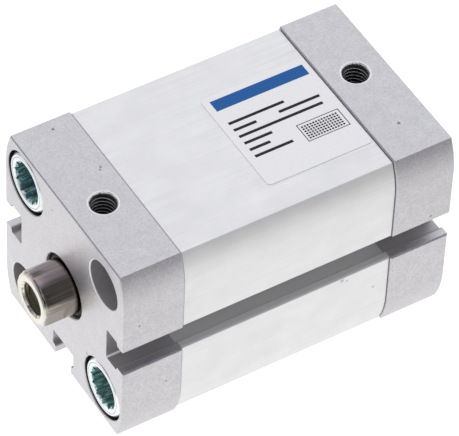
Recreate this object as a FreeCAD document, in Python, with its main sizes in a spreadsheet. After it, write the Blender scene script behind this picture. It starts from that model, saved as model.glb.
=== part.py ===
import FreeCAD, Part
import math
import os
import re

import Sketcher
from FreeCAD import Placement, Rotation, Vector

# Compact double-acting air cylinder: two caps on an extruded barrel, held by four collar screws,
# with a round piston and a rod that has a female thread. Millimetres.
# The origin lies on the rod's axis, in the front cap's mounting face. +X points out along the
# rod, +Z is up on the side of the air ports, and the piston is at its rear stop.

# Driving dimensions, one cell each.
cells = {
    # Cylinder
    "bore": 25.0,               # barrel's bore
    "stroke": 25.0,             # travel of the piston
    # Outer section of the caps and the barrel
    "channel_wall": 1.86,       # metal between bore and corner channel
    "side_wall": 0.85,          # metal outside a collar screw's counterbore
    "barrel_inset": 0.35,       # barrel's side inside the cap's side
    "corner_radius": 16.0,      # arc that runs from the side to the top
    "corner_drop": 7.05,        # where that arc leaves the side, below the top
    "edge_break": 0.2,          # chamfer round the caps' and the barrel's ends
    "mouth_break": 0.15,        # chamfer at the holes in the mounting faces
    # Sensor slots
    "slot_mouth": 5.3,
    "slot_undercut": 0.85,      # slot's inside beyond its mouth, each side
    "slot_lip": 2.05,           # thickness of the lips at the cap
    "slot_wall": 1.8,           # metal between slot and bore
    "slot_round": 0.4,
    "lip_round": 0.4,
    # Caps
    "cap_length": 11.5,
    "spigot_length": 2.0,       # cap's spigot inside the barrel
    "spigot_clearance": 0.05,
    "ring_groove_depth": 1.35,
    "ring_side_gap": 0.1,       # sealing ring's play along its groove
    "cushion_distance": 1.6,    # rod's surface to the cushion ring
    "cushion_width": 1.8,
    "cushion_seat": 1.2,        # ring's part inside its groove
    "cushion_proud": 0.5,       # ring's part that stops the piston
    # Air ports
    "port_distance": 6.0,       # end face to the port's axis
    "port_offset": 2.5,         # port's axis beside the rod's axis
    "port_core": 4.2,
    "port_chamfer": 0.5,
    "port_depth": 6.5,
    "pilot_diameter": 2.4,
    "pilot_sump": 0.4,          # pilot hole's bottom below the duct
    "duct_diameter": 1.8,
    "duct_wall": 0.5,           # metal between duct and ring groove
    # Collar screws and mounting threads
    "head_shoulder": 1.5,       # head's radius beyond the shank's
    "head_height": 6.0,
    "head_recess": 0.15,        # head below the mounting face
    "head_break": 0.45,
    "head_clearance": 0.4,
    "shank_diameter": 8.0,
    "shank_clearance": 0.1,
    "channel_clearance": 0.025, # barrel's corner channel round the shank
    "shank_length": 14.0,
    "socket_wall": 1.4,         # head's wall at the points of the socket
    "socket_point": 0.65,       # height of each point
    "socket_lead": 0.4,         # conical mouth of the socket
    "socket_depth": 4.0,
    "thread_core": 4.2,
    "screw_bottom": 5.0,        # shank's end beyond the internal thread
    "mount_bore": 9.0,          # plain mouth of the cap's own thread
    "mount_bore_depth": 4.4,
    # Rod and its bearing
    "rod_diameter": 10.0,
    "rod_projection": 6.2,      # rod's end beyond the mounting face
    "rod_chamfer": 0.6,
    "rod_thread_core": 5.0,
    "rod_thread_depth": 14.0,
    "rod_thread_chamfer": 0.85,
    "flat_depth": 0.5,          # wrench flat below the rod's surface
    "flats_distance": 2.0,      # mounting face to the wrench flats
    "flats_turn": 18.0,         # degrees, flats turned about the rod's axis
    "opening_gap": 1.05,        # round the rod, in the mounting face
    "opening_depth": 0.8,
    "seal_groove_depth": 2.2,   # rod's surface to the groove's floor
    "seal_groove_width": 3.2,
    "wiper_width": 1.5,
    "lip_thickness": 0.45,
    "web_width": 0.8,
    "web_clearance": 0.15,
    "bush_wall": 0.95,
    "bush_recess": 0.7,         # bush's end inside the spigot's end
    # Piston
    "piston_clearance": 0.2,
    "piston_land": 0.8,         # disc's rim beside a seal groove
    "inner_land": 0.7,          # rim between seal groove and guide ring
    "piston_seal_width": 2.0,
    "piston_seal_depth": 3.0,   # bore's wall to the seal groove's floor
    "guide_width": 4.0,
    "guide_thickness": 1.5,
    "guide_slit": 0.8,
    "magnet_width": 3.0,
    "magnet_cover": 0.6,        # metal between magnet and guide ring
    "magnet_wall": 1.3,         # metal between magnet and nut recess
    "rod_spigot": 6.0,          # rod's end inside the piston
    "small_ring": 1.0,          # section of the ring on that spigot
    "nut_flats": 10.0,
    "nut_height": 3.0,
    "nut_recess": 0.4,          # nut below the piston's rear face
    "nut_clearance": 0.5,
    "washer_thickness": 0.8,
    # Rating label
    "label_length": 20.5,
    "label_width": 22.3,
    "label_shift": 1.15,        # label's middle towards +Y
    "label_gap": 0.3,           # label to the rear cap
    "label_round": 0.8,
    "label_thickness": 0.1,
    # Clearances that several pieces share
    "running_clearance": 0.04,  # radial, rod in bush and guide ring in bore
    "fit_gap": 0.05,            # radial or axial, a ring in its groove
}

# Sizes that follow from the driving ones.
formulas = {
    "head_diameter": "shank_diameter + 2 * head_shoulder",
    "head_bore": "head_diameter + 2 * head_clearance",
    "socket_across": "head_diameter - 2 * socket_wall",
    "socket_core": "socket_across - 2 * socket_point",
    "drilled_depth": "head_height + shank_length - screw_bottom",
    "channel_radius": "shank_diameter / 2 + channel_clearance",
    "hole_pitch": "sqrt(2) * (bore / 2 + channel_wall + channel_radius)",
    "half_side": "(hole_pitch + head_bore) / 2 + side_wall",
    "slot_width": "slot_mouth + 2 * slot_undercut",
    "piston_width": "2 * (piston_land + piston_seal_width + inner_land) + guide_width",
    "barrel_length": "stroke + piston_width + 2 * cushion_proud + 2 * spigot_length",
    "body_length": "2 * cap_length + barrel_length",
    "spigot_end": "cap_length + spigot_length",
    "piston_front": "spigot_end + cushion_proud + stroke",
    "spigot_radius": "bore / 2 - spigot_clearance",
    "ring_root": "spigot_radius - ring_groove_depth",
    "ring_groove_width": "bore / 2 - ring_root + ring_side_gap",
    "port_mouth": "port_core + 2 * port_chamfer",
    "slot_floor": "bore / 2 + slot_wall",
    "slot_seat": "half_side - slot_lip",
    "duct_radius": "duct_diameter / 2",
    "duct_pitch": "ring_root - duct_wall - duct_radius",
    "duct_height": "sqrt(duct_pitch * duct_pitch - port_offset * port_offset)",
    "rod_radius": "rod_diameter / 2",
    "rod_mouth": "rod_thread_core + 2 * rod_thread_chamfer",
    "flats_across": "rod_diameter - 2 * flat_depth",
    "bush_bore": "rod_radius + running_clearance + bush_wall",
    "seal_groove_end": "opening_depth + seal_groove_width",
    "web_end": "seal_groove_end + web_width",
    "bush_length": "spigot_end - bush_recess - web_end",
    "cushion_inner": "rod_radius + cushion_distance",
    "cushion_outer": "cushion_inner + cushion_width",
    "wiping_radius": "rod_radius + fit_gap",
    "seal_outer": "rod_radius + seal_groove_depth - fit_gap",
    "piston_radius": "bore / 2 - piston_clearance",
    "piston_root": "bore / 2 - piston_seal_depth",
    "sealing_radius": "bore / 2 - fit_gap",
    "guide_outer": "bore / 2 - running_clearance",
    "guide_inner": "guide_outer - guide_thickness",
    "guide_root": "guide_inner - fit_gap",
    "rod_hole": "rod_spigot / 2 + fit_gap",
    "ring_pocket": "small_ring + 2 * fit_gap",
    "recess_radius": "nut_flats / sqrt(3) + nut_clearance",
    "recess_depth": "washer_thickness + nut_height + nut_recess",
    "magnet_inner": "recess_radius + magnet_wall",
    "magnet_outer": "guide_root - magnet_cover",
}

doc = FreeCAD.newDocument("compact_cylinder")
sheet = doc.addObject("Spreadsheet::Sheet", "Sizes")
for row, (alias, number) in enumerate(cells.items(), start=1):
    sheet.set("A%d" % row, alias.replace("_", " "))
    sheet.set("B%d" % row, str(number))
    sheet.setAlias("B%d" % row, alias)
doc.recompute()


def formula(text):
    """Spell a formula out, so that each word is a cell of the sheet."""

    def spell(match):
        word = match.group()
        if word in formulas:
            return "(" + formula(formulas[word]) + ")"
        if word in cells:
            return "Sizes." + word
        return word

    return re.sub("[a-z_]+", spell, text)


def size(text):
    """Value of a formula in millimetres."""
    return float(sheet.evalExpression(formula(text)))


def bind(thing, **properties):
    """Tie properties of an object to formulas."""
    for name, text in properties.items():
        thing.setExpression(name, formula(text))


def new_body(label, front="0"):
    """Body with its own frame, whose origin lies at a distance behind the mounting face."""
    body = doc.addObject("PartDesign::Body", label)
    body.Label = label
    body.setExpression("Placement.Base.x", formula("-(" + front + ")"))
    return body


def new_sketch(body, role, name, offset="0"):
    """Sketch on one of the body's origin planes, or parallel to it."""
    sketch = body.newObject("Sketcher::SketchObject", name)
    plane = [feature for feature in body.Origin.OriginFeatures if feature.Role == role][0]
    sketch.AttachmentSupport = [(plane, "")]
    sketch.MapMode = "FlatFace"
    sketch.setExpression("AttachmentOffset.Base.z", formula(offset))
    return sketch


def dimension(sketch, constraint, text):
    """Add a constraint to a sketch and tie its value to a formula."""
    number = sketch.addConstraint(constraint)
    sketch.setExpression("Constraints[%d]" % number, formula(text))


def tie_point(sketch, geometry, point, across, up):
    """Tie one point of a sketch to the sketch's origin by two formulas."""
    for kind, text in (("DistanceX", across), ("DistanceY", up)):
        dimension(sketch, Sketcher.Constraint(kind, -1, 1, geometry, point, size(text)), text)


def draw_circle(sketch, across, up, radius):
    middle = Vector(size(across), size(up), 0)
    circle = Part.Circle(middle, Vector(0, 0, 1), size(radius))
    number = sketch.addGeometry(circle)
    dimension(sketch, Sketcher.Constraint("Radius", number, size(radius)), radius)
    tie_point(sketch, number, 3, across, up)


def arc_between(start, end, radius):
    """Counterclockwise arc of less than half a turn."""
    chord = end - start
    reach = math.sqrt(radius * radius - chord.Length * chord.Length / 4)
    inward = Vector(-chord.y, chord.x, 0).normalize()
    middle = (start + end) / 2 + inward * reach
    angles = [math.atan2(point.y - middle.y, point.x - middle.x) for point in (start, end)]
    if angles[1] < angles[0]:
        angles[1] += 2 * math.pi
    circle = Part.Circle(middle, Vector(0, 0, 1), radius)
    return Part.ArcOfCircle(circle, angles[0], angles[1])


def draw_outline(sketch, corners, arcs=None):
    """Closed outline through corners, each a pair of formulas.

    arcs gives the radius of each stretch that is an arc, by the number of its first corner.
    """
    arcs = arcs or {}
    points = [Vector(size(across), size(up), 0) for across, up in corners]
    for number, start in enumerate(points):
        end = points[(number + 1) % len(points)]
        if number in arcs:
            sketch.addGeometry(arc_between(start, end, size(arcs[number])))
        else:
            sketch.addGeometry(Part.LineSegment(start, end))
    for number, (across, up) in enumerate(corners):
        following = (number + 1) % len(corners)
        sketch.addConstraint(Sketcher.Constraint("Coincident", number, 2, following, 1))
        tie_point(sketch, number, 1, across, up)
    for number, radius in arcs.items():
        dimension(sketch, Sketcher.Constraint("Radius", number, size(radius)), radius)


def feature(body, kind, sketch, name, **properties):
    """PartDesign feature made from a sketch, with its sizes tied to formulas."""
    made = body.newObject("PartDesign::" + kind, name)
    made.Profile = sketch
    doc.recompute()
    bind(made, **properties)
    return made


def turn(body, kind, name, corners):
    """Revolution or Groove about the body's X axis, from corners along the axis and out from it."""
    sketch = new_sketch(body, "XZ_Plane", name + "_profile")
    draw_outline(sketch, corners)
    made = body.newObject("PartDesign::" + kind, name)
    made.Profile = sketch
    made.ReferenceAxis = (sketch, ["H_Axis"])
    made.Angle = 360
    return made


def ring_profile(inner, outer, width):
    return [("0", inner), ("0", outer), ("-" + width, outer), ("-" + width, inner)]


def origin_axis(body, role):
    return [item for item in body.Origin.OriginFeatures if item.Role == role][0]


def pattern_about_x(body, original, name, count, angle):
    """Repeat a feature about the body's X axis."""
    made = body.newObject("PartDesign::PolarPattern", name)
    made.Originals = [original]
    made.Axis = (origin_axis(body, "X_Axis"), [""])
    made.Angle = angle
    made.Occurrences = count
    body.Tip = made
    return made


def dress_edges(body, kind, name, wanted, amount):
    """Chamfer or Fillet on the edges that a test picks."""
    doc.recompute()
    base = body.Tip
    edges = base.Shape.Edges
    names = ["Edge%d" % number for number, edge in enumerate(edges, start=1) if wanted(edge)]
    made = body.newObject("PartDesign::" + kind, name)
    made.Base = (base, names)
    bind(made, **{"Size" if kind == "Chamfer" else "Radius": amount})
    body.Tip = made
    return made


def is_near(point, across, up):
    return math.hypot(point.y - across, point.z - up) < 0.01


def runs_along(edge, across, up):
    """True for a straight edge along X at this place of the section."""
    ends = [vertex.Point for vertex in edge.Vertexes]
    return len(ends) == 2 and is_near(ends[0], across, up) and is_near(ends[1], across, up)


# Extrusion: flat top, bottom and sides with large corner arcs, and a T-shaped sensor slot in
# the two sides and the bottom. The arcs meet the top and bottom at an edge you can feel.
def extrude_section(body, inset, length, direction):
    sketch = new_sketch(body, "YZ_Plane", "section")
    half = "(half_side - %s)" % inset
    rise = "(half_side - corner_drop)"
    arc = "(corner_radius - %s)" % inset
    drop = "(corner_drop - %s)" % inset
    flat = "(half_side - corner_radius + sqrt(%s * %s - %s * %s))" % (arc, arc, drop, drop)
    corners = [
        (half, "-" + rise), (half, rise), (flat, half), ("-" + flat, half),
        ("-" + half, rise), ("-" + half, "-" + rise), ("-" + flat, "-" + half), (flat, "-" + half),
    ]
    draw_outline(sketch, corners, {1: arc, 3: arc, 5: arc, 7: arc})
    pad = feature(body, "Pad", sketch, "extrusion", Length=length)
    pad.Reversed = direction < 0
    dress_edges(body, "Chamfer", "broken_edges", lambda edge: edge.BoundBox.XLength < 0.01, "edge_break")


def cut_slots(body, offset, length):
    """Sensor slots: one in the right side, turned to the bottom and the left side."""
    sketch = new_sketch(body, "YZ_Plane", "slot_section", offset)
    outside = "(half_side + 1)"
    corners = [
        (outside, "slot_mouth / 2"), ("slot_seat", "slot_mouth / 2"),
        ("slot_seat", "slot_width / 2"), ("slot_floor", "slot_width / 2"),
        ("slot_floor", "-slot_width / 2"), ("slot_seat", "-slot_width / 2"),
        ("slot_seat", "-slot_mouth / 2"), (outside, "-slot_mouth / 2"),
    ]
    draw_outline(sketch, corners)
    slot = feature(body, "Pocket", sketch, "slot", Length=length)
    pattern = pattern_about_x(body, slot, "slots", 3, 180)
    pattern.Reversed = True


def slot_edges(half, places):
    """Test for the edges that run along the slots at these places of the right-hand slot."""

    def wanted(edge):
        for across, up in places:
            turned = ((across, up), (up, -across), (-across, -up))
            if any(runs_along(edge, *place) for place in turned):
                return True
        return False

    return wanted


def round_slots(body, inset):
    """Soft inner corners and lips of the sensor slots."""
    mouth = size("slot_mouth / 2")
    wide = size("slot_width / 2")
    seat = size("slot_seat")
    floor = size("slot_floor")
    half = size("half_side - " + inset)
    corners = [(seat, wide), (seat, -wide), (floor, wide), (floor, -wide)]
    lips = [(half, mouth), (half, -mouth), (seat, mouth), (seat, -mouth)]
    dress_edges(body, "Fillet", "slot_corners", slot_edges(half, corners), "slot_round")
    dress_edges(body, "Fillet", "slot_lips", slot_edges(half, lips), "lip_round")


# Barrel: the extrusion with the bore and four corner channels right through.
def make_barrel():
    body = new_body("barrel", "cap_length")
    extrude_section(body, "barrel_inset", "barrel_length", -1)
    cut_slots(body, "0", "barrel_length")
    round_slots(body, "barrel_inset")
    sketch = new_sketch(body, "YZ_Plane", "bores")
    draw_circle(sketch, "0", "0", "bore / 2")
    for across, up in (("1", "1"), ("-1", "1"), ("-1", "-1"), ("1", "-1")):
        place = (across + " * hole_pitch / 2", up + " * hole_pitch / 2")
        draw_circle(sketch, place[0], place[1], "channel_radius")
    feature(body, "Pocket", sketch, "through_bores", Length="barrel_length")
    return body


def corner_hole(body, name, up, mouth, mouth_depth, core):
    """Counterbored holes through the cap in two opposite corners."""
    sketch = new_sketch(body, "YZ_Plane", name + "_places")
    for side in ("1", "-1"):
        draw_circle(sketch, side + " * hole_pitch / 2", side + " * " + up, mouth + " / 2")
    hole = feature(body, "Hole", sketch, name)
    hole.ThreadType = "None"
    hole.DepthType = "ThroughAll"
    hole.HoleCutType = "Counterbore"
    hole.HoleCutCustomValues = True
    bind(hole, Diameter=core, HoleCutDiameter=mouth, HoleCutDepth=mouth_depth)
    return hole


# Both caps are one design: the extrusion, a spigot that centres the barrel, counterbores for
# two collar screws, two mounting threads on the other diagonal, and an air port with its duct.
def make_cap(label):
    body = new_body(label)
    extrude_section(body, "0", "cap_length", -1)
    cut_slots(body, "0", "cap_length")
    round_slots(body, "0")
    turn(body, "Revolution", "spigot", [
        ("-cap_length", "0"),
        ("-cap_length", "ring_root"),
        ("-cap_length - ring_groove_width", "ring_root"),
        ("-cap_length - ring_groove_width", "spigot_radius"),
        ("-spigot_end", "spigot_radius"),
        ("-spigot_end", "0"),
    ])
    turn(body, "Groove", "cushion_groove", [
        ("-spigot_end", "cushion_inner - fit_gap"),
        ("-spigot_end", "cushion_outer + fit_gap"),
        ("-spigot_end + cushion_seat", "cushion_outer + fit_gap"),
        ("-spigot_end + cushion_seat", "cushion_inner - fit_gap"),
    ])
    corner_hole(body, "screw_bores", "-hole_pitch / 2", "head_bore", "head_recess + head_height",
                "shank_diameter + 2 * shank_clearance")
    corner_hole(body, "mounting_threads", "hole_pitch / 2", "mount_bore", "mount_bore_depth",
                "thread_core")
    add_port(body)
    return body


def add_port(body):
    """Threaded port in the top, a pilot hole below it and a duct to the barrel's end."""
    sketch = new_sketch(body, "XY_Plane", "port_place", "half_side")
    draw_circle(sketch, "-port_distance", "port_offset", "port_core / 2")
    port = feature(body, "Hole", sketch, "port")
    port.ThreadType = "None"
    port.DepthType = "Dimension"
    port.DrillPoint = "Angled"
    port.HoleCutType = "Countersink"
    port.HoleCutCustomValues = True
    port.HoleCutCountersinkAngle = 90
    bind(port, Diameter="port_core", HoleCutDiameter="port_mouth", Depth="port_depth")
    sketch = new_sketch(body, "XY_Plane", "pilot_place", "half_side")
    draw_circle(sketch, "-port_distance", "port_offset", "pilot_diameter / 2")
    feature(body, "Pocket", sketch, "pilot",
            Length="half_side - duct_height + duct_radius + pilot_sump")
    sketch = new_sketch(body, "YZ_Plane", "duct_place", "-spigot_end")
    draw_circle(sketch, "port_offset", "duct_height", "duct_radius")
    duct = feature(body, "Pocket", sketch, "duct", Length="spigot_end - port_distance")
    duct.Reversed = True


def break_mouths(body):
    """Small chamfer on every round hole in the mounting face."""

    def is_mouth(edge):
        return len(edge.Vertexes) == 1 and edge.BoundBox.XMax > -0.01 and edge.BoundBox.XLength < 0.01

    dress_edges(body, "Chamfer", "broken_mouths", is_mouth, "mouth_break")


def make_bearing_cap():
    """Front cap: the cap with the stepped bore for the rod, its seals and its bush."""
    body = make_cap("bearing_cap")
    turn(body, "Groove", "rod_bore", [
        ("0", "0"),
        ("0", "rod_radius + opening_gap"),
        ("-opening_depth", "rod_radius + opening_gap"),
        ("-opening_depth", "rod_radius + seal_groove_depth"),
        ("-seal_groove_end", "rod_radius + seal_groove_depth"),
        ("-seal_groove_end", "rod_radius + web_clearance"),
        ("-web_end", "rod_radius + web_clearance"),
        ("-web_end", "bush_bore"),
        ("-spigot_end", "bush_bore"),
        ("-spigot_end", "0"),
    ])
    break_mouths(body)
    return body


def make_end_cap():
    """Rear cap: the same cap, turned half round about the vertical."""
    body = make_cap("end_cap")
    break_mouths(body)
    body.Placement = Placement(Vector(0, 0, 0), Rotation(Vector(0, 0, 1), 180))
    body.setExpression("Placement.Base.x", formula("-body_length"))
    return body


# Collar screw: it clamps a cap to the barrel. The round head has a 12-point socket, and the
# screw is drilled and tapped, so that something can be mounted on it.
def make_collar_screw():
    body = new_body("collar_screw")
    turn(body, "Revolution", "screw", [
        ("0", "0"),
        ("0", "head_diameter / 2 - head_break"),
        ("-head_break", "head_diameter / 2"),
        ("-head_height", "head_diameter / 2"),
        ("-head_height", "shank_diameter / 2"),
        ("-head_height - shank_length + head_break", "shank_diameter / 2"),
        ("-head_height - shank_length", "shank_diameter / 2 - head_break"),
        ("-head_height - shank_length", "0"),
    ])
    turn(body, "Groove", "drilling", [
        ("0", "0"),
        ("0", "socket_across / 2 + fit_gap"),
        ("-socket_lead", "socket_core / 2"),
        ("-socket_depth", "socket_core / 2"),
        ("-socket_depth", "thread_core / 2"),
        ("-drilled_depth", "thread_core / 2"),
        ("-drilled_depth - thread_core / 4", "0"),
    ])
    sketch = new_sketch(body, "YZ_Plane", "point_section")
    draw_outline(sketch, [
        ("socket_across / 2", "0"),
        ("socket_core / 2 - fit_gap", "socket_point + fit_gap"),
        ("socket_core / 2 - fit_gap", "-socket_point - fit_gap"),
    ])
    point = feature(body, "Pocket", sketch, "socket_point", Length="socket_depth")
    pattern_about_x(body, point, "socket_points", 12, 360)
    return body


def place_screws(label, screw, turned, corners):
    """Two collar screws at opposite corners of a cap."""
    links = []
    for number, (across, up) in enumerate(corners, start=1):
        link = doc.addObject("App::Link", "%s_%d" % (label, number))
        link.LinkedObject = screw
        link.LinkTransform = True
        link.LinkPlacement = Placement(Vector(0, 0, 0), Rotation(Vector(0, 0, 1), 180 if turned else 0))
        face = "-body_length + head_recess" if turned else "-head_recess"
        link.setExpression("LinkPlacement.Base.x", formula(face))
        link.setExpression("LinkPlacement.Base.y", formula(across + " * hole_pitch / 2"))
        link.setExpression("LinkPlacement.Base.z", formula(up + " * hole_pitch / 2"))
        links.append(link)
    group = doc.addObject("Part::Compound", label)
    group.Label = label
    group.Links = links
    return group


def make_ring(label, front, inner, outer, width):
    """Plain ring about the rod's axis."""
    body = new_body(label, front)
    turn(body, "Revolution", "ring", ring_profile(inner, outer, width))
    return body


def make_o_ring(label, middle, root, wall):
    """Sealing ring between a groove's floor and a wall, with flats where it is pressed."""
    body = new_body(label, middle)
    centre = "(%s + %s) / 2" % (root, wall)
    far = "((%s - %s) / 2 - fit_gap)" % (wall, root)
    near = far + " * (sqrt(2) - 1)"
    turn(body, "Revolution", "ring", [
        (along, centre + out)
        for along, out in (
            (far, " - " + near), (far, " + " + near), (near, " + " + far), ("-" + near, " + " + far),
            ("-" + far, " + " + near), ("-" + far, " - " + near), ("-" + near, " - " + far),
            (near, " - " + far),
        )
    ])
    return body


# Rod seals: the wiper looks out of the cap, the lip seal faces the pressure behind it.
def make_rod_wiper():
    body = new_body("rod_wiper", "opening_depth")
    turn(body, "Revolution", "ring", [
        ("opening_depth / 2", "wiping_radius"),
        ("opening_depth / 2", "wiping_radius + lip_thickness / 2"),
        ("-fit_gap", "rod_radius + opening_gap - fit_gap"),
        ("-fit_gap", "seal_outer"),
        ("-wiper_width", "seal_outer"),
        ("-wiper_width", "wiping_radius + lip_thickness"),
        ("-opening_depth / 2", "wiping_radius + lip_thickness / 2"),
    ])
    return body


def make_rod_lip_seal():
    body = new_body("rod_lip_seal", "opening_depth")
    heel = "-wiper_width - fit_gap"
    tip = "-seal_groove_width + fit_gap"
    turn(body, "Revolution", "ring", [
        (heel, "wiping_radius + lip_thickness / 2"),
        (heel, "seal_outer"),
        (tip, "seal_outer"),
        (tip, "seal_outer - lip_thickness"),
        (heel + " - lip_thickness", "(wiping_radius + seal_outer) / 2"),
        (tip, "wiping_radius + lip_thickness"),
        (tip, "wiping_radius"),
    ])
    return body


# Rod: ground steel, female thread and countersink in its outer end, two wrench flats, and a
# thinner spigot that carries the piston.
def make_rod():
    body = new_body("piston_rod", "-rod_projection")
    shoulder = "-rod_projection - piston_front"
    end = shoulder + " - piston_width + nut_recess"
    turn(body, "Revolution", "rod", [
        ("0", "0"),
        ("0", "rod_radius - rod_chamfer"),
        ("-rod_chamfer", "rod_radius"),
        (shoulder, "rod_radius"),
        (shoulder, "rod_spigot / 2"),
        (end + " + rod_chamfer", "rod_spigot / 2"),
        (end, "rod_spigot / 2 - rod_chamfer"),
        (end, "0"),
    ])
    turn(body, "Groove", "thread_bore", [
        ("0", "0"),
        ("0", "rod_mouth / 2"),
        ("-rod_thread_chamfer", "rod_thread_core / 2"),
        ("-rod_thread_depth", "rod_thread_core / 2"),
        ("-rod_thread_depth - rod_thread_core / 4", "0"),
    ])
    sketch = new_sketch(body, "YZ_Plane", "flat_section")
    sketch.AttachmentOffset = Placement(Vector(0, 0, 0), Rotation(Vector(0, 0, 1), -size("flats_turn")))
    sketch.setExpression("AttachmentOffset.Rotation.Angle", formula("-flats_turn"))
    draw_outline(sketch, [
        ("flats_across / 2", "rod_radius"),
        ("flats_across / 2", "-rod_radius"),
        ("rod_diameter", "-rod_radius"),
        ("rod_diameter", "rod_radius"),
    ])
    flat = feature(body, "Pocket", sketch, "wrench_flat", Length="rod_projection - flats_distance")
    pattern_about_x(body, flat, "wrench_flats", 2, 360)
    return body


# Piston: two discs clamped on the rod's spigot, with the ring magnet between them. Each disc
# has a groove for a lip seal and half of the groove for the guide ring.
def make_piston_front_half():
    body = new_body("piston_front_half", "piston_front")
    turn(body, "Revolution", "disc", [
        ("0", "rod_spigot / 2 + ring_pocket"),
        ("0", "piston_radius"),
        ("-piston_land", "piston_radius"),
        ("-piston_land", "piston_root"),
        ("-piston_land - piston_seal_width", "piston_root"),
        ("-piston_land - piston_seal_width", "piston_radius"),
        ("-(piston_width - guide_width) / 2", "piston_radius"),
        ("-(piston_width - guide_width) / 2", "guide_root"),
        ("-piston_width / 2", "guide_root"),
        ("-piston_width / 2", "magnet_outer"),
        ("-(piston_width - magnet_width) / 2", "magnet_outer"),
        ("-(piston_width - magnet_width) / 2", "magnet_inner"),
        ("-piston_width / 2", "magnet_inner"),
        ("-piston_width / 2", "rod_hole"),
        ("-ring_pocket", "rod_hole"),
        ("-ring_pocket", "rod_spigot / 2 + ring_pocket"),
    ])
    return body


def make_piston_rear_half():
    body = new_body("piston_rear_half", "piston_front")
    turn(body, "Revolution", "disc", [
        ("-piston_width / 2", "rod_hole"),
        ("-piston_width / 2", "magnet_inner"),
        ("-(piston_width + magnet_width) / 2", "magnet_inner"),
        ("-(piston_width + magnet_width) / 2", "magnet_outer"),
        ("-piston_width / 2", "magnet_outer"),
        ("-piston_width / 2", "guide_root"),
        ("-(piston_width + guide_width) / 2", "guide_root"),
        ("-(piston_width + guide_width) / 2", "piston_radius"),
        ("-piston_width + piston_land + piston_seal_width", "piston_radius"),
        ("-piston_width + piston_land + piston_seal_width", "piston_root"),
        ("-piston_width + piston_land", "piston_root"),
        ("-piston_width + piston_land", "piston_radius"),
        ("-piston_width", "piston_radius"),
        ("-piston_width", "recess_radius"),
        ("-piston_width + recess_depth", "recess_radius"),
        ("-piston_width + recess_depth", "rod_hole"),
    ])
    return body


def make_piston_seal(label, turned):
    """Lip seal whose lip points away from the piston's middle."""
    body = new_body(label)
    turn(body, "Revolution", "ring", [
        ("-fit_gap", "sealing_radius - lip_thickness"),
        ("-fit_gap", "sealing_radius"),
        ("-fit_gap - lip_thickness", "sealing_radius"),
        ("-piston_seal_width + fit_gap", "piston_radius - fit_gap"),
        ("-piston_seal_width + fit_gap", "piston_root + fit_gap"),
        ("-fit_gap", "piston_root + fit_gap"),
        ("-fit_gap", "piston_root + fit_gap + lip_thickness"),
        ("-piston_seal_width / 2", "(piston_root + sealing_radius) / 2"),
    ])
    groove = "piston_front + piston_land"
    if turned:
        body.Placement = Placement(Vector(0, 0, 0), Rotation(Vector(0, 0, 1), 180))
        groove = "piston_front + piston_width - piston_land"
    body.setExpression("Placement.Base.x", formula("-(" + groove + ")"))
    return body


def make_guide_ring():
    """Wear ring that carries the piston in the bore, slit so that it snaps into its groove."""
    front = "piston_front + (piston_width - guide_width) / 2 + fit_gap"
    body = make_ring("piston_guide_ring", front, "guide_inner", "guide_outer",
                     "(guide_width - 2 * fit_gap)")
    sketch = new_sketch(body, "YZ_Plane", "slit_section")
    draw_outline(sketch, [
        ("-guide_slit / 2", "0"),
        ("guide_slit / 2", "0"),
        ("guide_slit / 2", "bore"),
        ("-guide_slit / 2", "bore"),
    ])
    feature(body, "Pocket", sketch, "slit", Length="guide_width")
    return body


def make_nut():
    """Thin hexagon nut in the recess of the rear disc."""
    body = new_body("piston_nut", "piston_front + piston_width - nut_recess - nut_height")
    sketch = new_sketch(body, "YZ_Plane", "hexagon")
    across = "nut_flats / 2"
    point = "nut_flats / sqrt(3)"
    draw_outline(sketch, [
        (across, "-" + point + " / 2"), (across, point + " / 2"), ("0", point),
        ("-" + across, point + " / 2"), ("-" + across, "-" + point + " / 2"), ("0", "-" + point),
    ])
    pad = feature(body, "Pad", sketch, "hexagon_prism", Length="nut_height")
    pad.Reversed = True
    sketch = new_sketch(body, "YZ_Plane", "nut_bore_place")
    draw_circle(sketch, "0", "0", "rod_hole")
    feature(body, "Pocket", sketch, "nut_bore", Length="nut_height")
    return body


# Rating label: a thin film on the barrel's flat top, against the rear cap.
def make_label():
    body = new_body("rating_label", "cap_length + barrel_length - label_gap")
    sketch = new_sketch(body, "XY_Plane", "film", "half_side - barrel_inset")
    low = "(label_shift - label_width / 2)"
    high = "(label_shift + label_width / 2)"
    draw_outline(sketch, [
        ("label_round", low), ("label_length - label_round", low),
        ("label_length", low + " + label_round"), ("label_length", high + " - label_round"),
        ("label_length - label_round", high), ("label_round", high),
        ("0", high + " - label_round"), ("0", low + " + label_round"),
    ], {1: "label_round", 3: "label_round", 5: "label_round", 7: "label_round"})
    feature(body, "Pad", sketch, "label_film", Length="label_thickness")
    return body


magnet_front = "piston_front + (piston_width - magnet_width) / 2 + fit_gap"
washer_front = "piston_front + piston_width - recess_depth"

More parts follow.
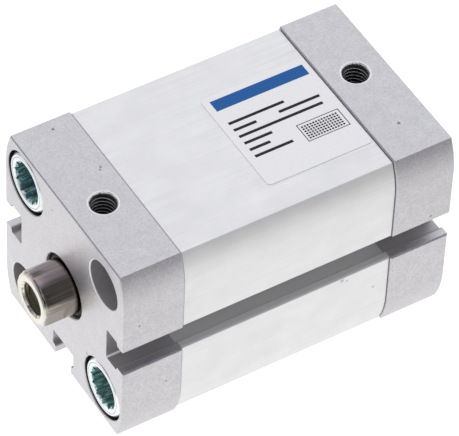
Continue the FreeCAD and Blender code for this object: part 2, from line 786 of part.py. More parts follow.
collar_screw = make_collar_screw()
nodes = [
    make_barrel(),
    make_bearing_cap(),
    make_end_cap(),
    place_screws("front_collar_screws", collar_screw, False, [("-1", "1"), ("1", "-1")]),
    place_screws("rear_collar_screws", collar_screw, True, [("1", "1"), ("-1", "-1")]),
    make_rod_wiper(),
    make_rod_lip_seal(),
    make_ring("rod_bearing_bush", "web_end", "rod_radius + running_clearance",
              "bush_bore - running_clearance", "bush_length"),
    make_o_ring("front_cap_o_ring", "cap_length + ring_groove_width / 2", "ring_root", "bore / 2"),
    make_o_ring("rear_cap_o_ring", "body_length - cap_length - ring_groove_width / 2", "ring_root",
                "bore / 2"),
    make_ring("front_cushion_ring", "spigot_end - cushion_seat + fit_gap", "cushion_inner",
              "cushion_outer", "(cushion_seat + cushion_proud - fit_gap)"),
    make_ring("rear_cushion_ring", "body_length - spigot_end - cushion_proud", "cushion_inner",
              "cushion_outer", "(cushion_seat + cushion_proud - fit_gap)"),
    make_label(),
    make_rod(),
    make_piston_front_half(),
    make_piston_rear_half(),
    make_ring("piston_magnet", magnet_front, "magnet_inner + fit_gap", "magnet_outer - fit_gap",
              "(magnet_width - 2 * fit_gap)"),
    make_ring("piston_washer", washer_front, "rod_hole", "recess_radius - fit_gap",
              "washer_thickness"),
    make_nut(),
    make_o_ring("piston_rod_o_ring", "piston_front + ring_pocket / 2", "rod_spigot / 2",
                "(rod_spigot / 2 + ring_pocket)"),
    make_piston_seal("piston_seal_front", False),
    make_piston_seal("piston_seal_rear", True),
    make_guide_ring(),
]
doc.recompute()

for thing in doc.Objects:
    if "Invalid" in thing.State or "Error" in thing.State:
        raise RuntimeError("%s could not be built: %s" % (thing.Name, thing.State))

os.makedirs("parts", exist_ok=True)
for node in nodes:
    shape = node.Shape
    if shape.isNull() or not shape.isValid():
        raise RuntimeError("%s has no valid shape" % node.Label)
    shape.exportStep("parts/%s.step" % node.Label)
    print("%-22s solids %d  volume %9.2f" % (node.Label, len(shape.Solids), shape.Volume))
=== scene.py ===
import math

import bpy
from mathutils import Matrix, Vector


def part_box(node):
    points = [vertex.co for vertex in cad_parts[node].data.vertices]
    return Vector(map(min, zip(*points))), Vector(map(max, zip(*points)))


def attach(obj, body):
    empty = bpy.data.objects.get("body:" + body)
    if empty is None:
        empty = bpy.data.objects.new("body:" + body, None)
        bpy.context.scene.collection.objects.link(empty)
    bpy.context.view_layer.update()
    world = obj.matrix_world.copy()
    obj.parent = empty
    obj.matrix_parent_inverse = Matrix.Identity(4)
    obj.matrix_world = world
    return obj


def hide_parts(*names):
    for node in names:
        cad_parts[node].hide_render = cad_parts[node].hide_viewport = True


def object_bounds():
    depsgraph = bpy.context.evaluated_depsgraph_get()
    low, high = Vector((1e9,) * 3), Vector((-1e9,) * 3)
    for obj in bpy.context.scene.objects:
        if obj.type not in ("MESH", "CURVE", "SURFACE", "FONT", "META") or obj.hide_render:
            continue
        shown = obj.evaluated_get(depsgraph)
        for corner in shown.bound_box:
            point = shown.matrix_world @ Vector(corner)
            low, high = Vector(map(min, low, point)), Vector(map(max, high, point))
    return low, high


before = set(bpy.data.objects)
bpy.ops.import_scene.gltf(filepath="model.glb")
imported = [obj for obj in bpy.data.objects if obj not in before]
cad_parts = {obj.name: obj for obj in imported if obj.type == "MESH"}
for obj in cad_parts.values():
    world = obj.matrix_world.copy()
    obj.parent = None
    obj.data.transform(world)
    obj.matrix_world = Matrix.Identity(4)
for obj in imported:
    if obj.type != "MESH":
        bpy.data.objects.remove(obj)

cad_box = [list(corner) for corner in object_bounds()]

# Barrel: extruded aluminium section with a bore, three sensor slots and four corner channels,
# cut to length, deburred and clear anodised. The spigots of the two caps centre it.
MM = 0.001
BARREL_SIDE = 19.4
SLOT_FLOOR, SLOT_WALL = 14.3, 3.5


def colour(code):
    """Linear colour from an sRGB hex code."""
    parts = [int(code[start:start + 2], 16) / 255 for start in (0, 2, 4)]
    return [part / 12.92 if part <= 0.04045 else ((part + 0.055) / 1.055) ** 2.4 for part in parts] + [1]


def add(owner, kind, inputs=None, out=0, **settings):
    """Add a node to a material or world, and give one of its outputs.

    An input is a value, or the output that feeds it. Inputs that share a name go by number: in
    MapRange 0 is the value, 1 and 2 its range, and 3 and 4 the range that it is turned into, and
    in Mix 0 is the share, and 6 and 7 are the two colours.
    """
    made = owner.node_tree.nodes.new("ShaderNode" + kind)
    for name, value in settings.items():
        setattr(made, name, value)
    for name, value in (inputs or {}).items():
        if isinstance(value, bpy.types.NodeSocket):
            owner.node_tree.links.new(value, made.inputs[name])
        else:
            made.inputs[name].default_value = value
    return made.outputs[out] if made.outputs else None


def new_material(name):
    """Empty material, and each point's place on the object in metres."""
    material = bpy.data.materials.new(name)
    material.use_nodes = True
    material.node_tree.nodes.clear()
    return material, add(material, "TexCoord", out="Object")


def clouds(material, place, size, low=0.0, high=1.0, detail=3.0):
    """Value that wanders from low to high in patches of about this size."""
    noise_low, noise_high = 0.32, 0.68
    cloud = add(material, "TexNoise", {"Vector": place, "Scale": 1 / size, "Detail": detail})
    return add(material, "MapRange", {0: cloud, 1: noise_low, 2: noise_high, 3: low, 4: high})


def marks(material, place, spots):
    """Share that is 1 at each of a few points and fades to 0 over its radius in millimetres."""
    total = 0.0
    for x, y, z, radius in spots:
        point = (x * MM, y * MM, z * MM)
        away = add(material, "VectorMath", {0: place, 1: point}, "Value", operation="DISTANCE")
        near = add(material, "MapRange", {0: away, 1: radius * MM, 2: radius * MM / 3})
        total = add(material, "Math", {0: near, 1: total}, operation="MAXIMUM")
    return total


def between(material, value, low, high, fade):
    """Share that is 1 where a length is between two limits in millimetres."""
    above = add(material, "MapRange", {0: value, 1: (low - fade) * MM, 2: low * MM})
    below = add(material, "MapRange", {0: value, 1: (high + fade) * MM, 2: high * MM})
    return add(material, "Math", {0: above, 1: below}, operation="MULTIPLY")


def in_slots(material, place, reach=(SLOT_FLOOR - 0.4, 19.0), side=(0, SLOT_WALL + 0.1), fade=0.1):
    """Share that is 1 in one zone of the three sensor slots.

    The zone lies between two distances from the part's axis, and two from the slot's middle.
    """
    apart = add(material, "SeparateXYZ", {0: place}).node.outputs
    aside, above = [add(material, "Math", {0: apart[axis]}, operation="ABSOLUTE") for axis in (1, 2)]
    far = add(material, "Math", {0: aside, 1: above}, operation="MAXIMUM")
    near = add(material, "Math", {0: aside, 1: above}, operation="MINIMUM")
    shares = [between(material, far, *reach, fade), between(material, near, *side, fade)]
    return add(material, "Math", {0: shares[0], 1: shares[1]}, operation="MULTIPLY")


def dress(node, material):
    """Give a CAD node its material."""
    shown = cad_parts[node]
    shown.data.materials.clear()
    shown.data.materials.append(material)


# Anodised aluminium, satin: an even silver with the die's faint lines along the section, drawn
# 0.2 mm apart so that they show, and a few rub marks. The slots are duller, and painted darker as
# painted shade.
anodised, place = new_material("anodised_aluminium")
drawn = add(anodised, "Mapping", {"Vector": place, "Scale": (0.01, 1, 1)})
lines = clouds(anodised, drawn, 0.2 * MM)
patches = clouds(anodised, place, 5 * MM)
tone = add(anodised, "Mix", {0: patches, 6: colour("DFDFE0"), 7: colour("E5E5E6")}, 2, data_type="RGBA")
shade = add(anodised, "Math", {0: lines, 1: 0.2}, operation="MULTIPLY")
tone = add(anodised, "Mix", {0: shade, 6: tone, 7: colour("CFCFD1")}, 2, data_type="RGBA")
rubbed = marks(anodised, place, [
    (-43, BARREL_SIDE, -3.4, 0.5), (-44, BARREL_SIDE, -3.9, 0.3), (-49.5, BARREL_SIDE, -8.5, 0.35),
])
tone = add(anodised, "Mix", {0: rubbed, 6: tone, 7: colour("B4B2B2")}, 2, data_type="RGBA")
slotted = in_slots(anodised, place)
# The slots' darker tone is painted shade.
tone = add(anodised, "Mix", {0: slotted, 6: tone, 7: colour("D2D2D3")}, 2, data_type="RGBA")
relief = add(anodised, "Bump", {"Height": lines, "Strength": 0.06, "Distance": 0.02 * MM})
shader = add(anodised, "BsdfPrincipled", {
    "Base Color": tone, "Normal": relief,
    "Metallic": add(anodised, "MapRange", {0: slotted, 3: 0.74, 4: 0.5}),
    "Roughness": add(anodised, "MapRange", {0: lines, 3: 0.42, 4: 0.52}),
})
add(anodised, "OutputMaterial", {"Surface": shader})
dress("barrel", anodised)

# Caps: the barrel's outline a little larger, sawn from bar and tumbled, then milled at the ends,
# drilled, tapped and left bare. They hold the rod's bearing, air ports and mounting threads.
FACE = 32.0
MIDDLE = Vector((-FACE * MM, 0, 0))
CAP_SIDE = 19.75
CORNER = 13 * MM
MOUTH, COUNTERBORE, OPENING = 4.5, 5.9, 6.0
PORTS = {
    "bearing_cap": Vector((-6 * MM, 2.5 * MM, CAP_SIDE * MM)),
    "end_cap": Vector((-58 * MM, -2.5 * MM, CAP_SIDE * MM)),
}


def corner_places(material, place):
    """Distances from the part's middle plane and from the axis of the nearest corner hole."""
    apart = add(material, "SeparateXYZ", {0: place}).node.outputs
    shifted = add(material, "Math", {0: apart[0], 1: MIDDLE.x}, operation="SUBTRACT")
    along = add(material, "Math", {0: shifted}, operation="ABSOLUTE")
    arms = []
    for axis in (1, 2):
        reach = add(material, "Math", {0: apart[axis]}, operation="ABSOLUTE")
        arms.append(add(material, "Math", {0: reach, 1: CORNER}, operation="SUBTRACT"))
    arm = add(material, "CombineXYZ", {0: arms[0], 1: arms[1]})
    return along, add(material, "VectorMath", {0: arm}, "Value", operation="LENGTH")


def rebore(node, name, bores):
    """Copy of a CAD node with its tapped holes opened from the core to the thread's root.

    Where a hole begins with a chamfer, its inner edge moves up the chamfer's own slope.
    """
    slack, mouth = 0.02 * MM, 1 * MM
    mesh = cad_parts[node].data.copy()
    for origin, direction, core, root, depth in bores:
        for vertex in mesh.vertices:
            arm = vertex.co - origin
            down = arm.dot(direction)
            out = arm - direction * down
            if abs(out.length - core) < slack and -0.1 * MM < down < depth:
                lift = root - core if down < mouth else 0
                vertex.co = origin + direction * (down - lift) + out.normalized() * root
    piece = bpy.data.objects.new(name, mesh)
    bpy.context.scene.collection.objects.link(piece)
    return piece


def cut_thread(name, shaded_flank, highlit_crest):
    """Two materials of a tapped thread: its torn flanks, painted dark as painted shade, and its crests,
    painted lighter as a painted highlight.
    """
    pair = []
    for part, code, metallic in (("shaded_flank", shaded_flank, 0.8), ("highlit_crest", highlit_crest, 0.2)):
        cut, place = new_material(name + "_" + part)
        torn = clouds(cut, place, 0.15 * MM, 0.8, 1.2)
        tone = add(cut, "Mix", {0: 1.0, 6: colour(code), 7: torn}, 2, data_type="RGBA", blend_type="MULTIPLY")
        shader = add(cut, "BsdfPrincipled", {"Base Color": tone, "Metallic": metallic, "Roughness": 0.4})
        add(cut, "OutputMaterial", {"Surface": shader})
        pair.append(cut)
    return pair


def thread_turns(points, faces, origin, direction, core, root, pitch, start, end):
    """Add one helical ridge of a female thread to a mesh in the making.

    Its foot stands a little inside the hole's wall, and it fades in and out over a third of a turn.
    """
    steps = 32
    runout = steps / 3
    across = direction.orthogonal().normalized()
    beside = direction.cross(across)
    count = int((end - start) / pitch * steps)
    foot = root + 0.02 * MM
    foot_half, crest_half = 0.44 * pitch, 0.1 * pitch
    section = [(foot, -foot_half), (core, -crest_half), (core, crest_half), (foot, foot_half)]
    base = len(points)
    for step in range(count + 1):
        angle = 2 * math.pi * step / steps
        fade = min(1, step / runout, (count - step) / runout)
        outward = across * math.cos(angle) + beside * math.sin(angle)
        for radius, shift in section:
            reach = foot + (radius - foot) * fade
            points.append(origin + direction * (start + pitch * step / steps + shift) + outward * reach)
        if step:
            old = base + 4 * (step - 1)
            for side in range(4):
                after = (side + 1) % 4
                faces.append((old + side, old + after, old + 4 + after, old + 4 + side))
    faces.append((base, base + 1, base + 2, base + 3))
    last = base + 4 * count
    faces.append((last + 3, last + 2, last + 1, last))


def make_threads(name, turns, finish, body):
    """Ridges of one or more female threads as one piece, their crests in the second material."""
    points, faces = [], []
    for turn in turns:
        thread_turns(points, faces, *turn)
    mesh = bpy.data.meshes.new(name)
    mesh.from_pydata(points, [], faces)
    mesh.shade_smooth()
    mesh.set_sharp_from_angle(angle=math.radians(25))
    for material in finish:
        mesh.materials.append(material)
    for face in mesh.polygons:
        low, high = sorted(face.vertices)[:2]
        face.material_index = 1 if low % 4 == 1 and high == low + 1 else 0
    piece = bpy.data.objects.new(name, mesh)
    bpy.context.scene.collection.objects.link(piece)
    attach(piece, body)


# Tumbled aluminium: matt grey, mottled by the stones in patches of 0.35 and 2.5 mm, with a few
# dents. The milled ends are paler and mirror less, and the walls of holes and slots are duller and
# darker. The slots' darker tone is painted shade, the counterbores' walls round the screw heads are
# painted nearly black as painted shade, and round edges and a line in each slot's inner corners are
# painted bright as a painted highlight.
tumbled, place = new_material("tumbled_aluminium")
along, away = corner_places(tumbled, place)
upward = add(tumbled, "SeparateXYZ", {0: place}, 2)
flattened = add(tumbled, "VectorMath", {0: place, 1: (0, 1, 1)}, operation="MULTIPLY")
off_axis = add(tumbled, "VectorMath", {0: flattened}, "Value", operation="LENGTH")
grain = clouds(tumbled, place, 0.35 * MM, detail=4.0)
patches = clouds(tumbled, place, 2.5 * MM)
milled = add(tumbled, "MapRange", {0: along, 1: (FACE - 0.07) * MM, 2: (FACE - 0.03) * MM})
sunk = add(tumbled, "MapRange", {0: along, 1: (FACE - 0.14) * MM, 2: (FACE - 0.2) * MM})
close = add(tumbled, "MapRange", {0: away, 1: (COUNTERBORE + 0.15) * MM, 2: (COUNTERBORE + 0.1) * MM})
drilled = add(tumbled, "Math", {0: close, 1: sunk}, operation="MULTIPLY")
gap_shade = add(tumbled, "MapRange", {0: away, 1: (MOUTH + 0.4) * MM, 2: (MOUTH + 0.5) * MM})
slotted = in_slots(tumbled, place, (SLOT_FLOOR - 0.4, 18.2))
slotted = add(tumbled, "Math", {0: slotted, 1: sunk}, operation="MULTIPLY")
hidden = add(tumbled, "Math", {0: slotted, 1: drilled}, operation="MAXIMUM")
tone = add(tumbled, "Mix", {0: milled, 6: colour("BFBEC2"), 7: colour("CBCACD")}, 2, data_type="RGBA")
for pattern, depth in ((grain, 0.14), (patches, 0.03)):
    darker = add(tumbled, "MapRange", {0: pattern, 3: 1 - depth, 4: 1 + depth})
    tone = add(tumbled, "Mix", {0: 1.0, 6: tone, 7: darker}, 2, data_type="RGBA", blend_type="MULTIPLY")
# Slots painted darker: painted shade.
tone = add(tumbled, "Mix", {0: slotted, 6: tone, 7: colour("ACAAAD")}, 2, data_type="RGBA")
# Counterbore walls round the screw heads painted nearly black: painted shade in the gap.
wall = add(tumbled, "Mix", {0: gap_shade, 6: colour("B2B0B2"), 7: colour("3C3C3E")}, 2, data_type="RGBA")
tone = add(tumbled, "Mix", {0: drilled, 6: tone, 7: wall}, 2, data_type="RGBA")
# A painted highlight along the inner corners of each slot's floor, near the cap's end.
slot_highlight_zone = (SLOT_FLOOR - 0.05, SLOT_FLOOR + 0.3), (SLOT_WALL - 0.25, SLOT_WALL + 0.1)
painted_edge_highlight = in_slots(tumbled, place, *slot_highlight_zone, 0.03)
near_end = between(tumbled, along, FACE - 3, FACE - 0.1, 0.2)
painted_edge_highlight = add(tumbled, "Math", {0: painted_edge_highlight, 1: near_end}, operation="MULTIPLY")
# The round edges painted bright as a painted highlight: a distance with its limits, and how far along the cap
# or up it they lie.
highlight_edges = [
    (away, MOUTH - 0.05, MOUTH + 0.15, along, FACE - 0.2, FACE),
    (off_axis, OPENING - 0.05, OPENING + 0.15, along, FACE - 0.6, FACE - 0.1),
]
for centre in PORTS.values():
    from_port = add(tumbled, "VectorMath", {0: place, 1: centre}, "Value", operation="DISTANCE")
    highlight_edges.append((from_port, 0, 2.7, upward, CAP_SIDE - 0.45, CAP_SIDE + 0.25))
for value, low, high, other, start, end in highlight_edges:
    edge = add(tumbled, "Math", {0: between(tumbled, value, low, high, 0.05),
                                 1: between(tumbled, other, start, end, 0.05)}, operation="MULTIPLY")
    painted_edge_highlight = add(tumbled, "Math", {0: edge, 1: painted_edge_highlight}, operation="MAXIMUM")
# Edges and slot corners painted bright: a painted highlight.
tone = add(tumbled, "Mix", {0: painted_edge_highlight, 6: tone, 7: colour("F4F4F6")}, 2, data_type="RGBA")
dents = marks(tumbled, place, [
    (-7, -16, CAP_SIDE, 0.35), (-9.6, -4.7, CAP_SIDE, 0.3), (-9.2, -4.2, CAP_SIDE, 0.25),
    (-58, 11, CAP_SIDE, 0.4), (-3, CAP_SIDE, 8, 0.3), (-8.5, CAP_SIDE, -9, 0.25),
    (-60, CAP_SIDE, 4, 0.3), (0, 8, -9, 0.3), (0, -4, 15, 0.25),
])
tone = add(tumbled, "Mix", {0: dents, 6: tone, 7: colour("6C6A70")}, 2, data_type="RGBA")
metal = add(tumbled, "MapRange", {0: hidden, 3: 0.9, 4: 0.55})
metal = add(tumbled, "MapRange", {0: milled, 3: metal, 4: 0.78})
relief = add(tumbled, "Bump", {"Height": grain, "Strength": 0.5, "Distance": 0.03 * MM})
shader = add(tumbled, "BsdfPrincipled", {
    "Base Color": tone, "Normal": relief,
    "Metallic": add(tumbled, "MapRange", {0: painted_edge_highlight, 3: metal, 4: 0.2}),
    "Roughness": add(tumbled, "MapRange", {0: grain, 3: 0.34, 4: 0.46}),
})
add(tumbled, "OutputMaterial", {"Surface": shader})

# The tapped holes are opened from the core's radius to the root's, to some depth, and their ridges
# stand in them as pieces of their own, from a start to an end. The cut aluminium is painted dark
# between the ridges, a painted shade, and bright on their crests, a painted highlight.
M5 = (2.1 * MM, 2.5 * MM)
M5_PITCH = 0.8 * MM
PORT_DEPTH, PORT_THREAD = 6.6 * MM, (0.36 * MM, 5.8 * MM)
CORNER_DEPTH, CORNER_THREAD = 14 * MM, (4.9 * MM, 13.0 * MM)
BACKWARD = Vector((-1, 0, 0))
DOWN = Vector((0, 0, -1))
cut_aluminium = cut_thread("cut_aluminium", "3A3A3D", "F4F4F8")
for cap, face, inward, upper_side in (
    ("bearing_cap", 0.0, BACKWARD, 1),
    ("end_cap", -2 * FACE * MM, -BACKWARD, -1),
):
    port = PORTS[cap]
    corners = [Vector((face, side * upper_side * CORNER, side * CORNER)) for side in (1, -1)]
    bores = [(port, DOWN, *M5, PORT_DEPTH)] + [(corner, inward, *M5, CORNER_DEPTH) for corner in corners]
    piece = rebore(cap, cap + "_milled", bores)
    piece.data.materials.clear()
    piece.data.materials.append(tumbled)
    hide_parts(cap)
    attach(piece, "housing")
    turns = [(port, DOWN, *M5, M5_PITCH, *PORT_THREAD)]
    turns += [(corner, inward, *M5, M5_PITCH, *CORNER_THREAD) for corner in corners]
    make_threads(cap + "_threads", turns, cut_aluminium, "housing")

# Collar screws: turned steel, zinc plated with a blue-green passivation; the socket is painted a dark
# blue green, painted shade with that tint. Each clamps a cap to the barrel; below its 12-point socket
# is a mounting thread.
SOCKET, HEAD, INSET = 4.05, 5.5, 0.15
SCREW_DEPTH, SCREW_THREAD = 15.2 * MM, (4.5 * MM, 14.6 * MM)

# Zinc plate: nearly white and half bright, with a grey turned ring on the head. The socket is
# painted a dark blue green, painted shade with the passivation's tint, with pale streaks along its
# points, pale flecks of 0.45 mm and two white glints, all painted highlights. The head's side is
# painted dark in its narrow gap, a painted shade, and the thread is grey green with crests painted
# paler as a painted highlight.
zinc, place = new_material("zinc_plated_steel")
along, away = corner_places(zinc, place)
close = add(zinc, "MapRange", {0: away, 1: (SOCKET + 0.07) * MM, 2: SOCKET * MM})
sunk = add(zinc, "MapRange", {0: along, 1: (FACE - INSET - 0.11) * MM, 2: (FACE - INSET - 0.21) * MM})
inside = add(zinc, "Math", {0: close, 1: sunk}, operation="MULTIPLY")
low = add(zinc, "MapRange", {0: along, 1: (FACE - 0.5) * MM, 2: (FACE - 0.7) * MM})
outer = add(zinc, "MapRange", {0: away, 1: (HEAD - 0.2) * MM, 2: (HEAD - 0.05) * MM})
beside = add(zinc, "Math", {0: low, 1: outer}, operation="MULTIPLY")
bloom = clouds(zinc, place, 0.5 * MM)
streaks_and_sheen = clouds(zinc, add(zinc, "Mapping", {"Vector": place, "Scale": (0.15, 1, 1)}), 0.6 * MM)
tone = add(zinc, "Mix", {0: bloom, 6: colour("ECEFF0"), 7: colour("DCE2E4")}, 2, data_type="RGBA")
turned = between(zinc, away, 4.6, 4.7, 0.12)
tone = add(zinc, "Mix", {0: turned, 6: tone, 7: colour("A3B0B2")}, 2, data_type="RGBA")
upward = add(zinc, "SeparateXYZ", {0: place}, 2)
hue = add(zinc, "MapRange", {0: upward, 1: -CORNER, 2: CORNER})
# The socket painted dark blue green: painted shade with the passivation's tint.
socket = add(zinc, "Mix", {0: hue, 6: colour("3C7866"), 7: colour("386A7A")}, 2, data_type="RGBA")
# Pale streaks along its points, then flecks and glints: painted highlights.
socket = add(zinc, "Mix", {0: streaks_and_sheen, 6: socket, 7: colour("7FAFB2")}, 2, data_type="RGBA")
highlight_flecks = clouds(zinc, add(zinc, "Mapping", {"Vector": place, "Scale": (0.25, 1, 1)}), 0.45 * MM, -1.9, 1.9)
glints = marks(zinc, place, [(-0.38, -14.4, 9.35, 0.5), (-0.45, -12.7, 9.1, 0.4)])
socket = add(zinc, "Mix", {0: highlight_flecks, 6: socket, 7: colour("C2E6E8")}, 2, data_type="RGBA")
socket = add(zinc, "Mix", {0: glints, 6: socket, 7: colour("FFFFFF")}, 2, data_type="RGBA")
tone = add(zinc, "Mix", {0: inside, 6: tone, 7: socket}, 2, data_type="RGBA")
# The head's side in its narrow gap painted dark: painted shade.
tone = add(zinc, "Mix", {0: beside, 6: tone, 7: colour("4A4A4A")}, 2, data_type="RGBA")
relief = add(zinc, "Bump", {"Height": bloom, "Strength": 0.15, "Distance": 0.02 * MM})
shader = add(zinc, "BsdfPrincipled", {
    "Base Color": tone, "Normal": relief,
    "Metallic": add(zinc, "MapRange", {0: inside, 3: 1.0, 4: 0.45}),
    "Roughness": add(zinc, "MapRange", {0: bloom, 3: 0.24, 4: 0.36}),
})
add(zinc, "OutputMaterial", {"Surface": shader})
cut_zinc = cut_thread("cut_zinc", "4C6468", "9FB5B4")
for screws, face, inward, side in (
    ("front_collar_screws", -INSET * MM, BACKWARD, -1),
    ("rear_collar_screws", -(2 * FACE - INSET) * MM, -BACKWARD, 1),
):
    corners = [Vector((face, side * turn * CORNER, turn * CORNER)) for turn in (1, -1)]
    piece = rebore(screws, screws + "_tapped", [(corner, inward, *M5, SCREW_DEPTH) for corner in corners])
    piece.data.materials.clear()
    piece.data.materials.append(zinc)
    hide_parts(screws)
    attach(piece, "housing")
    turns = [(corner, inward, *M5, M5_PITCH, *SCREW_THREAD) for corner in corners]
    make_threads(screws + "_threads", turns, cut_zinc, "housing")

# Rod: steel bar, ground round its axis and polished, with wrench flats milled near its end and a
# tapped bore. It slides out of the front cap, and the piston is clamped on its inner end.
ROD_END = 6.2
ROD_RADIUS = 5.0
RING_START, RING_END = 4.3, 4.65
FLAT, FLAT_START = 4.5, 2.0
FLAT_TURN = math.radians(18)
FLAT_SIDE = Vector((0, math.cos(FLAT_TURN), -math.sin(FLAT_TURN)))
REFLECTION_SIDE = (0, -0.26, 0.966)

# Ground steel: a warm dark grey with lengthwise streaks, drawn 0.35 mm wide so that they show, and
# reflections that the rings of the grinding draw out along the rod. Its upper side is painted a paler
# mauve, a painted reflection. It has duller flats, a faced end and ring painted bright as a painted
# highlight, a torn mouth, and a dark ring of painted shade where it enters the wiper.
ground, place = new_material("ground_steel")
lengthwise = add(ground, "Mapping", {"Vector": place, "Scale": (0.03, 1, 1)})
streaks_and_sheen = clouds(ground, lengthwise, 0.35 * MM)
rings = clouds(ground, add(ground, "Mapping", {"Vector": place, "Scale": (1, 0.03, 0.03)}), 0.15 * MM)
tone = add(ground, "Mix", {0: streaks_and_sheen, 6: colour("B3ADA2"), 7: colour("88837A")}, 2, data_type="RGBA")
# The upper side is painted a paler mauve than the rest: a painted reflection.
painted_reflection = add(ground, "Mix", {0: streaks_and_sheen, 6: colour("CFC1C0"), 7: colour("A89A99")}, 2, data_type="RGBA")
apart = add(ground, "SeparateXYZ", {0: place}).node.outputs
upward = add(ground, "VectorMath", {0: place, 1: REFLECTION_SIDE}, "Value", operation="DOT_PRODUCT")
upper = add(ground, "MapRange", {0: upward, 1: 3.6 * MM, 2: 4.1 * MM})
tone = add(ground, "Mix", {0: upper, 6: tone, 7: painted_reflection}, 2, data_type="RGBA")
beyond = add(ground, "VectorMath", {0: place, 1: FLAT_SIDE}, "Value", operation="DOT_PRODUCT")
beyond = add(ground, "Math", {0: beyond}, operation="ABSOLUTE")
flat = between(ground, beyond, FLAT - 0.04, FLAT + 0.04, 0.02)
along_flat = between(ground, apart[0], FLAT_START, ROD_END - 0.2, 0.1)
flat = add(ground, "Math", {0: flat, 1: along_flat}, operation="MULTIPLY")
tone = add(ground, "Mix", {0: flat, 6: tone, 7: colour("A39D93")}, 2, data_type="RGBA")
faced_highlight = add(ground, "MapRange", {0: apart[0], 1: (ROD_END - 0.15) * MM, 2: (ROD_END - 0.05) * MM})
flattened = add(ground, "VectorMath", {0: place, 1: (0, 1, 1)}, operation="MULTIPLY")
radius = add(ground, "VectorMath", {0: flattened}, "Value", operation="LENGTH")
close = add(ground, "MapRange", {0: radius, 1: 3.1 * MM, 2: 3.05 * MM})
deep = add(ground, "MapRange", {0: apart[0], 1: (ROD_END - 0.3) * MM, 2: (ROD_END - 0.4) * MM})
bored = add(ground, "Math", {0: close, 1: deep}, operation="MULTIPLY")
cone = add(ground, "MapRange", {0: radius, 1: 3.45 * MM, 2: 3.38 * MM})
faced_highlight = add(ground, "Math", {0: faced_highlight, 1: cone}, operation="MAXIMUM")
# Dark ring where the rod enters the wiper: painted shade.
painted_entry_shade = between(ground, apart[0], -0.5, 0.0, 0.08)
tone = add(ground, "Mix", {0: painted_entry_shade, 6: tone, 7: colour("3A302D")}, 2, data_type="RGBA")
# The faced end, its mouth cone and the ring are painted pale: a painted highlight.
tone = add(ground, "Mix", {0: faced_highlight, 6: tone, 7: colour("D6D3C9")}, 2, data_type="RGBA")
rim_highlight = between(ground, apart[0], ROD_END - 0.28, ROD_END + 0.1, 0.05)
ring = between(ground, radius, RING_START, ROD_RADIUS + 0.1, 0.05)
rim_highlight = add(ground, "Math", {0: rim_highlight, 1: ring}, operation="MULTIPLY")
tone = add(ground, "Mix", {0: rim_highlight, 6: tone, 7: colour("DAD7CD")}, 2, data_type="RGBA")
torn = add(ground, "Math", {0: cone, 1: clouds(ground, place, 0.5 * MM, -0.6, 1.0)}, operation="MULTIPLY")
tone = add(ground, "Mix", {0: torn, 6: tone, 7: colour("8A857A")}, 2, data_type="RGBA")
tone = add(ground, "Mix", {0: bored, 6: tone, 7: colour("8A8678")}, 2, data_type="RGBA")
relief = add(ground, "Bump", {"Height": rings, "Strength": 0.12, "Distance": 0.01 * MM})
metal = add(ground, "MapRange", {0: bored, 3: 1.0, 4: 0.4})
shader = add(ground, "BsdfPrincipled", {
    "Base Color": tone, "Normal": relief,
    "Metallic": add(ground, "MapRange", {0: rim_highlight, 3: metal, 4: 0.5}),
    "Roughness": add(ground, "MapRange", {0: rings, 3: 0.14, 4: 0.21}),
    "Anisotropic": 0.8, "Anisotropic Rotation": 0.25,
    "Tangent": add(ground, "Tangent", direction_type="RADIAL", axis="X"),
})
add(ground, "OutputMaterial", {"Surface": shader})
M6 = (2.5 * MM, 3.0 * MM)
M6_PITCH = 1.0 * MM
ROD_DEPTH, ROD_THREAD = 14.2 * MM, (0.9 * MM, 13.5 * MM)
rod_end = Vector((ROD_END * MM, 0, 0))
piece = rebore("piston_rod", "piston_rod_tapped", [(rod_end, BACKWARD, *M6, ROD_DEPTH)])
# The faced end is drawn out to the ring's end, except where the flats cut it off.
for vertex in piece.data.vertices:
    arm = Vector((0, vertex.co.y, vertex.co.z))
    if vertex.co.x > (ROD_END - 0.05) * MM and arm.length > RING_START * MM:
        to_flat = (FLAT - 0.02) * MM / max(abs(arm.normalized().dot(FLAT_SIDE)), 0.5)
        vertex.co = Vector((vertex.co.x, 0, 0)) + arm.normalized() * min(RING_END * MM, to_flat)
piece.data.materials.clear()
piece.data.materials.append(ground)
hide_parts("piston_rod")
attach(piece, "piston_and_rod")
# Cut steel: a dull brown grey, painted a little paler on the crests as a painted highlight.
cut_steel = cut_thread("cut_steel", "7A7568", "A09A8C")
turns = [(rod_end, BACKWARD, *M6, M6_PITCH, *ROD_THREAD)]
make_threads("piston_rod_thread", turns, cut_steel, "piston_and_rod")

# Seals: moulded rubber rings. The wiper's lip is the black ring round the rod, and the other
# rings are hidden inside. Nitrile rubber is brown-black and half matt, with dust in 0.4 mm specks.
rubber, place = new_material("nitrile_rubber")
dust = clouds(rubber, place, 0.4 * MM)
tone = add(rubber, "Mix", {0: dust, 6: colour("140F0E"), 7: colour("241D1C")}, 2, data_type="RGBA")
shader = add(rubber, "BsdfPrincipled", {
    "Base Color": tone, "Roughness": add(rubber, "MapRange", {0: dust, 3: 0.35, 4: 0.55}),
    "Specular IOR Level": 0.15,
})
add(rubber, "OutputMaterial", {"Surface": shader})
for seal in ("rod_wiper", "rod_lip_seal", "front_cap_o_ring", "rear_cap_o_ring", "piston_rod_o_ring",
             "piston_seal_front", "piston_seal_rear"):
    dress(seal, rubber)

